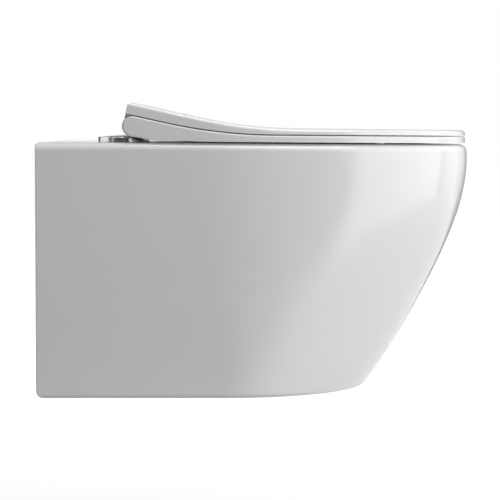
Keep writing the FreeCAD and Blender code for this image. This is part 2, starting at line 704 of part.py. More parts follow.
def make_brackets():
    ledge_top = "shelf_rise - pad_wall"
    left_edge = f"{BOLT_X} - bracket_width / 2"
    back_leg = box("bracket_back", left_edge, "-bracket_wall", "-bracket_drop", "bracket_width", "bracket_wall",
                   f"bracket_drop + {ledge_top}")
    ledge = box("bracket_ledge", left_edge, "-bracket_reach", f"{ledge_top} - bracket_wall", "bracket_width",
                "bracket_reach", "bracket_wall")
    gusset_corners = [("0", ledge_top), ("-bracket_reach", ledge_top), ("-bracket_reach", f"{ledge_top} - gusset_tip"),
                      ("-gusset_toe", "-bracket_drop"), ("0", "-bracket_drop")]
    gussets = [
        side_prism(f"gusset_{name}", gusset_corners, "gusset_wall",
                   f"{BOLT_X} {sign} (bracket_width / 2 - gusset_wall / 2)")
        for name, sign in (("inner", "-"), ("outer", "+"))
    ]
    stud_hole = cylinder("stud_hole", "bolt_hole / 2", "bracket_wall + 2 * overrun", BOLT_X, "overrun", "0",
                         ABOUT_Y)
    screw_hole = cylinder("screw_hole", "(clamp_thread + clamp_slack) / 2", "bracket_wall + 2 * overrun", BOLT_X,
                          "-clamp_from_wall", f"{ledge_top} - bracket_wall - overrun")
    bracket = cut("bracket", fuse("bracket_body", back_leg, ledge, *gussets), stud_hole, screw_hole)
    node(bracket, "bracket_right")
    node(mirrored("bracket_other", bracket), "bracket_left")

    pad = cut(
        "pad",
        box("pad_blank", left_edge, "-bracket_reach", ledge_top, "bracket_width", "bracket_reach - pad_wall",
            "pad_wall"),
        cylinder("pad_hole", "clamp_hole / 2", "2 * pad_wall", BOLT_X, "-clamp_from_wall",
                 f"{ledge_top} - pad_wall / 2"),
    )
    node(group("pads", pad, mirrored("pad_other", pad)), "bracket_pads")

    washer = turned(
        "washer",
        [("bolt_hole / 2", "0"), ("stud_washer / 2", "0"), ("stud_washer / 2", "stud_washer_height"),
         ("bolt_hole / 2", "stud_washer_height")],
        BOLT_X, "-bracket_wall", "0", ABOUT_Y,
    )
    node(group("washers", washer, mirrored("washer_other", washer)), "wall_washers")

    nut = hexagon("stud_nut", "stud_nut", "stud_nut_height", "stud_thread / 2", BOLT_X,
                  "-bracket_wall - stud_washer_height", "0", ABOUT_Y)
    node(group("stud_nuts", nut, mirrored("stud_nut_other", nut)), "wall_nuts")

    head_top = f"{ledge_top} - bracket_wall"
    screw = turned(
        "clamp_screw",
        [("0", "-clamp_head_height"), ("clamp_head / 2", "-clamp_head_height"), ("clamp_head / 2", "0"),
         ("clamp_thread / 2", "0"), ("clamp_thread / 2", "clamp_length - thread_lead"),
         ("clamp_thread / 2 - thread_lead", "clamp_length"), ("0", "clamp_length")],
        BOLT_X, "-clamp_from_wall", head_top,
    )
    node(group("clamp_screw_pair", screw, mirrored("clamp_screw_other", screw)), "clamp_screws")

    plate_z = "shelf_rise + shelf_wall"
    plate = cut(
        "plate_nut",
        box("plate_nut_blank", f"{BOLT_X} - clamp_nut / 2", "-clamp_from_wall - clamp_nut / 2", plate_z,
            "clamp_nut", "clamp_nut", "clamp_nut_height"),
        cylinder("plate_nut_bore", "clamp_thread / 2", "clamp_nut_height", BOLT_X, "-clamp_from_wall", plate_z),
    )
    node(group("plate_nuts", plate, mirrored("plate_nut_other", plate)), "clamp_nuts")


# ---------------------------------------------------------------- hinge sets fixed to the deck


def make_hinge_bases():
    gasket_top = "deck_height + gasket_wall"
    plate_top = f"{gasket_top} + plate_wall"
    gasket = turned(
        "gasket",
        [("hinge_hole / 2", "0"), ("gasket_size / 2", "0"), ("gasket_size / 2", "gasket_wall"),
         ("hinge_hole / 2", "gasket_wall")],
        HINGE_X, HINGE_Y, "deck_height",
    )
    node(group("gaskets", gasket, mirrored("gasket_other", gasket)), "hinge_gaskets")

    groove_low = "cover_edge + cover_dome + block_lift + latch_rise - loose_gap"
    groove_high = f"{groove_low} + latch_wall + 2 * loose_gap"
    shank, waist = "post_size / 2", "post_size / 2 - post_groove"
    post = turned(
        "post",
        [("0", "gasket_wall"), (shank, "gasket_wall"), (shank, groove_low), (waist, groove_low),
         (waist, groove_high), (shank, groove_high), (shank, "post_height - post_lead"),
         ("post_size / 2 - post_lead", "post_height"), ("0", "post_height")],
        HINGE_X, "-post_from_wall", "deck_height",
    )
    node(post, "hinge_post_right")
    node(mirrored("post_other", post), "hinge_post_left")

    plate = cut(
        "hinge_plate",
        cylinder("hinge_plate_blank", "plate_size / 2", "plate_wall", HINGE_X, HINGE_Y, gasket_top),
        cylinder("hinge_plate_hole", "hinge_thread / 2", "plate_wall", HINGE_X, HINGE_Y, gasket_top),
        cylinder("hinge_plate_post_hole", "post_size / 2", "plate_wall", HINGE_X, "-post_from_wall", gasket_top),
    )
    node(plate, "hinge_plate_right")
    node(mirrored("hinge_plate_other", plate), "hinge_plate_left")

    bolt = turned(
        "hinge_bolt",
        [("0", "-hinge_bolt_length"), ("hinge_thread / 2 - thread_lead", "-hinge_bolt_length"),
         ("hinge_thread / 2", "thread_lead - hinge_bolt_length"), ("hinge_thread / 2", "0"), ("hinge_head / 2", "0"),
         ("hinge_head / 2", "hinge_head_height - head_edge"), ("hinge_head / 2 - head_edge", "hinge_head_height"),
         ("0", "hinge_head_height")],
        HINGE_X, HINGE_Y, plate_top,
    )
    node(group("hinge_bolt_pair", bolt, mirrored("hinge_bolt_other", bolt)), "hinge_bolts")

    under = "-deck_wall"
    bush = turned(
        "expansion_bush",
        [("hinge_thread / 2", f"{under} - bush_length"), ("bush_flare / 2 - bush_taper", f"{under} - bush_length"),
         ("bush_flare / 2", f"{under} - 2 * bush_fit"), ("hinge_hole / 2 - bush_fit", f"{under} - 2 * bush_fit"),
         ("hinge_hole / 2 - bush_fit", "gasket_wall"), ("hinge_thread / 2", "gasket_wall")],
        HINGE_X, HINGE_Y, "deck_height",
    )
    node(group("expansion_bush_pair", bush, mirrored("expansion_bush_other", bush)), "expansion_bushes")

    nut_top = f"{under} - bush_length"
    nut = turned(
        "expansion_nut",
        [("hinge_thread / 2", f"{nut_top} - cone_nut_height"), ("cone_nut / 2", f"{nut_top} - cone_nut_height"),
         ("cone_nut / 2", f"{nut_top} - bush_taper"), ("cone_nut / 2 - bush_taper", nut_top),
         ("hinge_thread / 2", nut_top)],
        HINGE_X, HINGE_Y, "deck_height",
    )
    node(group("expansion_nut_pair", nut, mirrored("expansion_nut_other", nut)), "expansion_nuts")

    dome_radius = "((cover_size / 2) ^ 2 + cover_dome ^ 2) / (2 * cover_dome)"
    drum = cylinder("cover_drum", "cover_size / 2", "cover_edge + cover_dome - loose_gap", HINGE_X, HINGE_Y,
                    "deck_height + loose_gap")
    dome = doc.addObject("Part::Sphere", "cover_sphere")
    bind(dome, Radius=dome_radius)
    place(dome, HINGE_X, HINGE_Y, f"{COVER_TOP} - {dome_radius}")

    def edge_rounding(edge):
        around = isinstance(edge.Curve, Part.Circle) and edge.BoundBox.ZLength < 0.01
        return "cover_round" if around and edge.BoundBox.ZMin > value("deck_height + cover_edge / 2") else None

    cover_blank = fillet("cover_rounded", common("cover_form", drum, dome), edge_rounding)
    recess = cylinder("cover_recess", "cover_size / 2 - cover_wall", "cover_edge - cover_wall", HINGE_X, HINGE_Y,
                      "deck_height")
    pocket = cylinder("cover_pocket", "hinge_head / 2 + 1", "cover_edge + cover_dome - cover_wall", HINGE_X, HINGE_Y,
                      "deck_height")
    post_hole = cylinder("cover_post_hole", "post_size / 2 + loose_gap", "post_height", HINGE_X,
                         "-post_from_wall", "deck_height")
    cover = cut("cover", cover_blank, recess, pocket, post_hole)
    node(cover, "hinge_cover_right")
    node(mirrored("cover_other", cover), "hinge_cover_left")


# ---------------------------------------------------------------- lift-off hinge blocks

BLOCK_FOOT = f"({COVER_TOP} + block_lift)"
BLOCK_BACK = "(pivot_from_wall - block_radius + block_flat)"
LATCH_Z = f"{BLOCK_FOOT} + latch_rise"
LATCH_BACK = f"-{BLOCK_BACK} + loose_gap"


def make_hinge_blocks():
    left_edge = f"{HINGE_X} - block_width / 2"
    barrel = cylinder("block_barrel", "block_radius", "block_width", left_edge, PIVOT_Y, PIVOT_Z, ABOUT_X)
    foot = box("block_foot", left_edge, f"{PIVOT_Y} - block_radius", BLOCK_FOOT, "block_width",
               "2 * block_radius - block_flat", f"{PIVOT_Z} - {BLOCK_FOOT}")
    post_bore = cylinder("block_post_bore", "post_size / 2 + running_gap", "post_height + loose_gap", HINGE_X,
                         "-post_from_wall", "deck_height")
    pin_bores = [
        cylinder("pin_bore_inner", "pin_size / 2", "pin_seat", left_edge, PIVOT_Y, PIVOT_Z, ABOUT_X),
        cylinder("pin_bore_outer", "pin_size / 2", "pin_seat", f"{HINGE_X} + block_width / 2 - pin_seat", PIVOT_Y,
                 PIVOT_Z, ABOUT_X),
    ]
    slot_front = f"{PIVOT_Y} - block_radius + block_skin"
    slot_side = f"{HINGE_X} - (latch_width + loose_gap) / 2"
    slot = box("latch_slot", slot_side, slot_front, f"{LATCH_Z} - loose_gap / 2", "latch_width + loose_gap",
               "2 * block_radius + overrun", "latch_wall + loose_gap")
    recess = box("button_recess", slot_side, f"-{BLOCK_BACK} - button_depth - latch_travel",
                 f"{LATCH_Z} - button_drop - loose_gap / 2", "latch_width + loose_gap",
                 "button_depth + latch_travel + overrun", "button_height + loose_gap")
    block = cut("hinge_block", fuse("hinge_block_body", barrel, foot), post_bore, *pin_bores, slot, recess)
    node(block, "hinge_block_right")
    node(mirrored("hinge_block_other", block), "hinge_block_left")

    pins = [
        cylinder("pin_inner", "pin_size / 2", "pin_length", f"{left_edge} + pin_seat - pin_length", PIVOT_Y,
                 PIVOT_Z, ABOUT_X),
        cylinder("pin_outer", "pin_size / 2", "pin_length", f"{HINGE_X} + block_width / 2 - pin_seat", PIVOT_Y,
                 PIVOT_Z, ABOUT_X),
    ]
    others = [mirrored(f"{pin.Name}_other", pin) for pin in pins]
    node(group("pins", *pins, *others), "hinge_pins")

    plate_front = f"{slot_front} + latch_travel + loose_gap"
    plate = box("latch_plate", f"{HINGE_X} - latch_width / 2", plate_front, LATCH_Z, "latch_width",
                f"{LATCH_BACK} - button_depth - ({plate_front})", "latch_wall")
    keyhole = cylinder("latch_keyhole", "post_size / 2 + loose_gap", "2 * latch_wall", HINGE_X,
                       "-post_from_wall + latch_travel", f"{LATCH_Z} - latch_wall / 2")
    latch = cut("latch", plate, keyhole)
    node(group("latches", latch, mirrored("latch_other", latch)), "latch_springs")

    button = box("release_button", f"{HINGE_X} - latch_width / 2", f"{LATCH_BACK} - button_depth",
                 f"{LATCH_Z} - button_drop", "latch_width", "button_depth", "button_height")
    node(button, "release_button_right")
    node(mirrored("release_button_other", button), "release_button_left")


# ---------------------------------------------------------------- seat and lid


def slope_height(offset, from_wall):
    """Height on the sloping line that passes the pivot at the given distance above it."""
    return f"{PIVOT_Z} + ({offset}) / cos({WEDGE}) - (({from_wall}) - pivot_from_wall) * tan({WEDGE})"


def sweep_corners(offset, bend, tip):
    """Start and end of the sweep and the front end, as (distance from the wall, height)."""
    start = slope_height(offset, bend)
    end_y = f"({bend}) + sweep_radius * (sin({WEDGE}) - sin({RIM_SLOPE}))"
    end_z = f"{start} - sweep_radius * (cos({RIM_SLOPE}) - cos({WEDGE}))"
    tip_z = f"{end_z} - (({tip}) - ({end_y})) * tan({RIM_SLOPE})"
    return (bend, start), (end_y, end_z), (tip, tip_z)


def sweep_height(offset, from_wall):
    """Height of the swept surface at a distance from the wall, past the start of the sweep."""
    sweep_end = sweep_corners(offset, "seat_bend", from_wall)[1][0]
    height = sweep_corners(offset, "seat_bend", from_wall)[2][1]
    if value(from_wall) < value(sweep_end):
        height += f" + sweep_radius - sqrt(sweep_radius ^ 2 - (({sweep_end}) - ({from_wall})) ^ 2)"
    return height


def on_wedge(offset, behind):
    """A point above the pivot by offset, square to the slope, and behind it by another distance along it."""
    return (
        f"{PIVOT_Y} - ({offset}) * sin({WEDGE}) + ({behind}) * cos({WEDGE})",
        f"{PIVOT_Z} + ({offset}) * cos({WEDGE}) + ({behind}) * sin({WEDGE})",
    )


def plan_prism(name):
    """The shared plan of seat and lid, as an upright prism."""
    levels = ("deck_height - 10", "deck_height + pivot_rise + lid_wall + 50")
    return loft(
        f"{name}_plan_prism",
        [d_sketch(f"{name}_plan_{index}", level, SEAT_FRONT, "straight_rim", SEAT_WIDTH)
         for index, level in enumerate(levels)],
    )


TURN = f"(wedge_angle - {RIM_SLOPE} / 1 deg)"
TIP = f"({SEAT_FRONT} + overrun)"


def bumper(name, x, from_wall, foot, height):
    """A rubber bumper that stands up from its foot."""
    return cylinder(name, "bumper_size / 2", height, x, f"-({from_wall})", foot)


def pair(name, piece):
    return [piece, mirrored(f"{name}_other", piece)]


def make_seat():
    bend, end, tip = sweep_corners("seat_barrel", "seat_bend", TIP)
    toe = f"{rim_height('seat_toe')} + seat_gap"
    front = f"{rim_height(TIP)} + seat_gap"
    corners = [
        on_wedge("seat_barrel", "0"),
        (f"-({bend[0]})", bend[1]),
        (f"-({end[0]})", end[1], "sweep_radius", f"-{TURN}"),
        (f"-({tip[0]})", tip[1]),
        (f"-({TIP})", front),
        ("-seat_toe", toe),
        ("-seat_heel", "deck_height + seat_heel_rise"),
        (PIVOT_Y, f"{PIVOT_Z} - seat_barrel"),
        (PIVOT_Y, PIVOT_Z),
    ]
    form = common("seat_form", side_prism("seat_side", corners, "pan_width + 2 * overrun"), plan_prism("seat"))

    def upper_edge(edge):
        across = edge.BoundBox.YLength < 0.01
        middle = edge.valueAt((edge.FirstParameter + edge.LastParameter) / 2)
        middle_drop = value(f"{rim_height(str(-middle.y))} + seat_gap") + 3
        radial = edge.BoundBox.YMax > value(PIVOT_Y) - 3
        upright = edge.BoundBox.XLength < 0.01 and edge.BoundBox.YLength < 0.01
        slants_to_pivot = radial and edge.BoundBox.YLength < 4
        return None if across or upright or slants_to_pivot or middle.z < middle_drop else "seat_round"

    wedge = fillet("seat_wedge", form, upper_edge)
    roll = cylinder("seat_roll", "seat_barrel", SEAT_WIDTH, f"-{SEAT_WIDTH} / 2", PIVOT_Y, PIVOT_Z, ABOUT_X)
    rear = fillet("seat_rear", roll, lambda edge: "seat_round" if edge.BoundBox.XLength < 0.01 else None)
    hole_length = f"{BOWL_LENGTH} - 2 * seat_over_end"
    hole_width = f"{BOWL_WIDTH} - 2 * seat_over_side"
    hole = loft(
        "seat_hole",
        [ellipse("seat_hole_low", "deck_height - seat_hole_depth", BOWL_CENTRE, hole_length, hole_width,
                 "seat_hole_flare"),
         ellipse("seat_hole_high", "deck_height + seat_hole_depth", BOWL_CENTRE, hole_length, hole_width)],
    )

    def mouth_edge(edge):
        box_of = edge.BoundBox
        inside = box_of.YMax < 4 - value(f"{BOWL_CENTRE} - ({hole_length}) / 2") and box_of.XLength > 1
        inside = inside and box_of.YMin > -4 - value(f"{BOWL_CENTRE} + ({hole_length}) / 2")
        middle = edge.valueAt((edge.FirstParameter + edge.LastParameter) / 2)
        upper = middle.z > value(rim_height(str(-middle.y))) + 5
        return "seat_round" if inside and upper else None

    rounded = fillet("seat_rounded", cut("seat_blank", fuse("seat_whole", wedge, rear), hole), mouth_edge)
    notch_inner = f"{HINGE_X} - block_width / 2 - side_gap - ear_width - side_gap"
    notch_width = "block_width + 2 * side_gap + ear_width + side_gap"
    notch_front = "pivot_from_wall + ear_radius + ear_clearance"
    tools = []
    for side, start in (("right", notch_inner), ("left", f"-({notch_inner}) - ({notch_width})")):
        tools.append(box(f"seat_notch_{side}", start, f"-({notch_front})", "deck_height", notch_width,
                         "4 * block_radius", "4 * block_radius"))
    for side, sign in (("right", ""), ("left", "-")):
        tools.append(cylinder(f"seat_relief_{side}", "cover_size / 2 + loose_gap",
                              "pivot_rise - seat_barrel - 2 * running_gap", f"{sign}({HINGE_X})", HINGE_Y,
                              "deck_height"))
    lug = f"{HINGE_X} + block_width / 2 + side_gap"
    tools.append(cylinder("seat_damper_bore", "damper_size / 2", "damper_length + side_gap",
                          f"-({lug}) - damper_length - side_gap", PIVOT_Y, PIVOT_Z, ABOUT_X))
    tools.append(cylinder("seat_sleeve_bore", "sleeve_size / 2", "sleeve_length + 1", lug, PIVOT_Y, PIVOT_Z, ABOUT_X))
    bumpers = []
    for name, inset, along in (("front", "seat_bumper_front_in", f"({SEAT_FRONT} - seat_bumper_front)"),
                               ("rear", "seat_bumper_rear_in", "seat_bumper_rear")):
        out = f"{SEAT_WIDTH} / 2 - {inset}"
        foot = f"{rim_height(f'{along} - bumper_size / 2')} + loose_gap / 2"
        height = f"{rim_height(along)} + seat_gap + bumper_sink - ({foot})"
        bumpers += pair(f"seat_bumper_{name}", bumper(f"seat_bumper_{name}", out, along, foot, height))
    seat = cut("seat", rounded, *tools, *bumpers)
    node(seat, "seat_ring")
    node(group("seat_bumper_group", *bumpers), "seat_bumpers")

    damper = cut(
        "seat_damper_body",
        cylinder("seat_damper_case", "damper_size / 2", "damper_length", f"-({lug}) - damper_length", PIVOT_Y,
                 PIVOT_Z, ABOUT_X),
        cylinder("seat_damper_socket", "pin_size / 2 + running_gap", "pin_length - pin_seat + 1",
                 f"-({lug}) - pin_length + pin_seat - 1", PIVOT_Y, PIVOT_Z, ABOUT_X),
    )
    node(damper, "seat_damper")
    sleeve = cut(
        "seat_sleeve",
        cylinder("seat_sleeve_outside", "sleeve_size / 2", "sleeve_length", lug, PIVOT_Y, PIVOT_Z, ABOUT_X),
        cylinder("seat_sleeve_inside", "pin_size / 2 + running_gap", "sleeve_length", lug, PIVOT_Y, PIVOT_Z, ABOUT_X),
    )
    node(sleeve, "seat_bush")


def make_lid():
    under = "seat_barrel + lid_gap"
    over = f"{under} + lid_wall"
    bend, end, tip = sweep_corners(under, "seat_bend", TIP)
    top_bend, top_end, top_tip = sweep_corners(over, "lid_bend", TIP)
    corners = [
        on_wedge(under, "lid_overhang"),
        (f"-({bend[0]})", bend[1]),
        (f"-({end[0]})", end[1], "sweep_radius", f"-{TURN}"),
        (f"-({tip[0]})", tip[1]),
        (f"-({top_tip[0]})", top_tip[1]),
        (f"-({top_end[0]})", top_end[1]),
        (f"-({top_bend[0]})", top_bend[1], "sweep_radius", TURN),
        on_wedge(over, "lid_overhang"),
    ]
    form = common("lid_form", side_prism("lid_side", corners, "pan_width + 2 * overrun"), plan_prism("lid"))

    def rounding(edge):
        box_of = edge.BoundBox
        middle = edge.valueAt((edge.FirstParameter + edge.LastParameter) / 2)
        across = box_of.YLength < 0.01 and box_of.ZLength < 0.01
        rear = box_of.YMin > -value("pivot_from_wall")
        below = middle.z < value(slope_height(over, str(-middle.y))) - value("lid_wall") / 2
        if across and not rear:
            return None
        if rear:
            return "lid_round" if across and box_of.ZMin > value(on_wedge(under, "lid_overhang")[1]) + 5 else None
        flat = middle.y < -value(top_end[0])
        if flat:
            below = middle.z < (value(tip[1]) + value(top_tip[1])) / 2 + 1
        return None if below else "lid_round"

    rounded = fillet("lid_rounded", form, rounding)
    ears = []
    for side, edge in (("right", f"{HINGE_X} - block_width / 2 - side_gap - ear_width"),
                       ("left", f"-({HINGE_X}) + block_width / 2 + side_gap")):
        ears.append(cylinder(f"ear_{side}", "ear_radius", "ear_width", edge, PIVOT_Y, PIVOT_Z, ABOUT_X))
        web = bind(doc.addObject("Part::Box", f"ear_web_{side}"), Length="ear_width", Width="2 * ear_radius",
                   Height=f"{under} + 1")
        lean = FreeCAD.Rotation(FreeCAD.Vector(1, 0, 0), value("wedge_angle"))
        low = on_wedge("0", "-ear_radius")
        place(web, edge, low[0], low[1], lean)
        web.setExpression("Placement.Rotation.Angle", expr(WEDGE))
        ears.append(web)
    lip_start = f"{HINGE_X} + block_width / 2 + 2 * side_gap"
    lip_width = f"{SEAT_WIDTH} / 2 - lid_lip_in - ({lip_start})"
    lips = []
    for side, edge in (("right", lip_start), ("left", f"-({lip_start}) - ({lip_width})")):
        bar = bind(doc.addObject("Part::Box", f"lip_bar_{side}"), Length=lip_width, Width="lid_overhang",
                   Height=f"{under} + 1")
        place(bar, edge, PIVOT_Y, PIVOT_Z, lean)
        bar.setExpression("Placement.Rotation.Angle", expr(WEDGE))
        lips.append(bar)
    room = cylinder("lip_room", "seat_barrel + lid_lip_gap", SEAT_WIDTH, f"-{SEAT_WIDTH} / 2", PIVOT_Y, PIVOT_Z,
                    ABOUT_X)
    lip = cut("lid_lip", fuse("lip_bars", *lips), room)
    body = fuse("lid_body", rounded, lip, *ears)

    ear_end = f"{HINGE_X} - block_width / 2 - side_gap"
    tools = [
        cylinder("lid_damper_bore", "damper_size / 2", "damper_length", f"{ear_end} - damper_length", PIVOT_Y,
                 PIVOT_Z, ABOUT_X),
        cylinder("lid_sleeve_bore", "sleeve_size / 2", "sleeve_length + 1", f"-({ear_end})", PIVOT_Y, PIVOT_Z, ABOUT_X),
    ]
    bumpers = []
    for name, inset, along in (("front", "lid_bumper_front_in", f"({SEAT_FRONT} - lid_bumper_front)"),
                               ("rear", "lid_bumper_rear_in", "lid_bumper_rear")):
        out = f"{SEAT_WIDTH} / 2 - {inset}"
        foot = f"{sweep_height('seat_barrel', f'{along} - bumper_size / 2')} + 0.25 * lid_gap"
        height = f"{sweep_height(under, along)} + bumper_sink - ({foot})"
        bumpers += pair(f"lid_bumper_{name}", bumper(f"lid_bumper_{name}", out, along, foot, height))
    lid = cut("lid", body, *tools, *bumpers)
    node(lid, "lid_shell")
    node(group("lid_bumper_group", *bumpers), "lid_bumpers")

    damper = cut(
        "lid_damper_body",
        cylinder("lid_damper_case", "damper_size / 2", "damper_length", f"{ear_end} - damper_length", PIVOT_Y,
                 PIVOT_Z, ABOUT_X),
        cylinder("lid_damper_socket", "pin_size / 2 + running_gap", "pin_length - pin_seat + 1",
                 f"{ear_end} - pin_length + pin_seat - 1 + side_gap", PIVOT_Y, PIVOT_Z, ABOUT_X),
    )
    node(damper, "lid_damper")
    sleeve = cut(
        "lid_sleeve",
        cylinder("lid_sleeve_outside", "sleeve_size / 2", "sleeve_length", f"-({ear_end})", PIVOT_Y, PIVOT_Z, ABOUT_X),
        cylinder("lid_sleeve_inside", "pin_size / 2 + running_gap", "sleeve_length", f"-({ear_end})", PIVOT_Y,
                 PIVOT_Z, ABOUT_X),
    )
    node(sleeve, "lid_bush")


# ---------------------------------------------------------------- build, check and write

make_pan()
make_flush_parts()
make_brackets()
make_hinge_bases()
make_hinge_blocks()
make_seat()
make_lid()
doc.recompute()

failed = [obj.Name for obj in doc.Objects if {"Invalid", "Error"} & set(obj.State)]
if failed:
    raise SystemExit(f"features that failed: {failed}")
for piece in nodes:
    if piece.Shape.isNull() or not piece.Shape.isValid() or not piece.Shape.Solids:
        raise SystemExit(f"bad shape: {piece.Label}")

os.makedirs("parts", exist_ok=True)
for piece in nodes:
    piece.Shape.exportStep(f"parts/{piece.Label}.step")
    size = piece.Shape.BoundBox
    print(f"{piece.Label}: {len(piece.Shape.Solids)} solid(s), {piece.Shape.Volume / 1000:.1f} cm3, "
          f"x {size.XMin:.1f} to {size.XMax:.1f}, y {size.YMin:.1f} to {size.YMax:.1f}, "
          f"z {size.ZMin:.1f} to {size.ZMax:.1f}")
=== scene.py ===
import json
import math

import bmesh
import bpy
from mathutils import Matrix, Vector


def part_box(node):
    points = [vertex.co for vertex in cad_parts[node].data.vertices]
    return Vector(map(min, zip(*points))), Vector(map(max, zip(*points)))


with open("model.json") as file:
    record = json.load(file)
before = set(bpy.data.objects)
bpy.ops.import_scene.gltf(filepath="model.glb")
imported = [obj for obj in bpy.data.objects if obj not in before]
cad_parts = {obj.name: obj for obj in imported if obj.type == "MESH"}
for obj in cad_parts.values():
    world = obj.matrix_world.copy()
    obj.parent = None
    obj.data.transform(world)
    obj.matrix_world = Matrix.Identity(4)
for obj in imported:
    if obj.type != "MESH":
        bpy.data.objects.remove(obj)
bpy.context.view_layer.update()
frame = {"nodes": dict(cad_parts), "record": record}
NODES = frame["nodes"]


# Metres throughout. X is across, -Y is the front, Z is up, and the wall is the plane Y = 0.

# ---------------------------------------------------------------- sizes of the pan

PAN_LOW, PAN_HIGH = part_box("ceramic_pan")
DECK = PAN_HIGH.z
SKIRT = 0.011           # thickness of the ceramic skirt
BASE = 0.012            # thickness of its underside
BOWL_BACK = -0.167      # rearmost point of the bowl's mouth

# Where the bare body gives way to glaze. None of it is seen from the front.
BARE_DEPTH = 0.0006     # bare to this depth, measured into a wall from its hidden face
GLAZE_DEPTH = 0.0012    # glazed from this depth on
DECK_BARE = 0.0142      # bare from this depth on, measured down from the deck's top
DECK_GLAZED = 0.0136    # glazed above this depth
BAY_GLAZED = 0.002      # glazed to this distance behind the bowl
BAY_BARE = 0.012        # bare from this distance on
REAR_GLAZED = -0.0014   # glazed in front of this Y
REAR_BARE = -0.0008     # bare behind it, on the edge that meets the wall
REAR_WANDER = 0.0024    # how far the glaze's edge wanders there

# camera, from the photograph's perspective
VIEW_DISTANCE = 2.8     # camera to the centre plane of the pan
VIEW_FROM_WALL = 0.2508
VIEW_HEIGHT = 0.099
VIEW_PITCH = 3.26       # degrees below the horizon
LENS = 161.9            # mm
SENSOR = 36.0           # mm

# studio
FLOOR_DROP = 0.42       # floor under the pan, which hangs on its wall mount
FLOOR_SIZE = 30.0
FLOOR_SHADE = 0.55      # the floor's grey, which takes the shadow
FLOOR_GLOW = 0.60       # how much of white the floor shows by itself near the part
FLOOR_NEAR = 1.0        # its glow grows from here
FLOOR_FAR = 3.0         # to here, so that it meets the white background
WORLD_LEVEL = 0.13      # light that reaches the part from the world
CARD_SHADE = 0.03
LIT_POINT = (0.0, -0.26, -0.06)     # near the middle of the part
LAMPS = (
    # name, place, width, height if not square, watts
    ("key_front", (-1.1, -2.95, 0.35), 3.0, 2.2, 49),
    ("fill_front", (1.6, -2.8, 0.4), 2.4, None, 14),
    ("top", (-0.9, -0.85, 2.25), 1.5, None, 37),
)
CARDS = (
    # name, middle, width along Y, height
    ("card_near", (-3.6, -0.6, 0.5), 6.4, 3.0),
    ("card_near_rear", (-1.6, 2.1, 0.5), 1.6, 3.0),
    ("card_far_front", (2.4, -2.35, 0.6), 2.8, 2.6),
    ("card_far_rear", (2.4, 1.95, 0.6), 2.8, 2.6),
    ("card_far_top", (3.0, -0.25, 1.75), 1.8, 2.4),
)


# ---------------------------------------------------------------- node helpers


class Tree:
    """A material's node tree with short calls for the nodes used here."""

    def __init__(self, name):
        self.material = bpy.data.materials.new(name)
        self.material.use_nodes = True
        self.nodes = self.material.node_tree.nodes
        self.links = self.material.node_tree.links
        self.shader = self.nodes["Principled BSDF"]
        self.place = self.add("ShaderNodeTexCoord").outputs["Object"]

    def add(self, kind, **settings):
        new = self.nodes.new(kind)
        for name, setting in settings.items():
            setattr(new, name, setting)
        return new

    def join(self, out, into):
        self.links.new(out, into)

    def set(self, **sockets):
        """Numbers and colours that are the same all over the surface."""
        for name, number in sockets.items():
            self.shader.inputs[name.replace("_", " ")].default_value = number

    def noise(self, scale, detail=3.0, rough=0.5):
        """Soft noise, 0 to 1; scale is in repeats a metre."""
        new = self.add("ShaderNodeTexNoise")
        new.inputs["Scale"].default_value = scale
        new.inputs["Detail"].default_value = detail
        new.inputs["Roughness"].default_value = rough
        self.join(self.place, new.inputs["Vector"])
        return new.outputs["Fac"]

    def spots(self, scale, size):
        """1 at the middle of scattered spots and 0 outside them."""
        cells = self.add("ShaderNodeTexVoronoi")
        cells.inputs["Scale"].default_value = scale
        self.join(self.place, cells.inputs["Vector"])
        return self.remap(cells.outputs["Distance"], 0.0, size, 1.0, 0.0)

    def remap(self, value, low, high, to_low, to_high):
        new = self.add("ShaderNodeMapRange")
        new.inputs["From Min"].default_value = low
        new.inputs["From Max"].default_value = high
        new.inputs["To Min"].default_value = to_low
        new.inputs["To Max"].default_value = to_high
        self.join(value, new.inputs["Value"])
        return new.outputs["Result"]

    def math(self, operation, a, b=None):
        new = self.add("ShaderNodeMath", operation=operation)
        for index, value in enumerate((a, b)):
            if value is None:
                continue
            if isinstance(value, (int, float)):
                new.inputs[index].default_value = value
            else:
                self.join(value, new.inputs[index])
        return new.outputs[0]

    def blend(self, factor, colour_a, colour_b):
        new = self.add("ShaderNodeMix", data_type="RGBA")
        self.join(factor, new.inputs["Factor"])
        for name, colour in (("A", colour_a), ("B", colour_b)):
            socket = next(s for s in new.inputs if s.name == name and s.type == "RGBA")
            if isinstance(colour, tuple):
                socket.default_value = (*colour, 1.0)
            else:
                self.join(colour, socket)
        return next(s for s in new.outputs if s.type == "RGBA")

    def axes(self):
        """The place's x, y and z, in metres in the object's frame."""
        split = self.add("ShaderNodeSeparateXYZ")
        self.join(self.place, split.inputs["Vector"])
        return split.outputs["X"], split.outputs["Y"], split.outputs["Z"]

    def bump(self, height, distance, strength=1.0, under=None):
        """Relief of the given depth in metres; under is relief that lies below it."""
        new = self.add("ShaderNodeBump")
        new.inputs["Strength"].default_value = strength
        new.inputs["Distance"].default_value = distance
        self.join(height, new.inputs["Height"])
        if under is not None:
            self.join(under, new.inputs["Normal"])
        return new.outputs["Normal"]

    def feed(self, name, value):
        self.join(value, self.shader.inputs[name])


# ---------------------------------------------------------------- materials


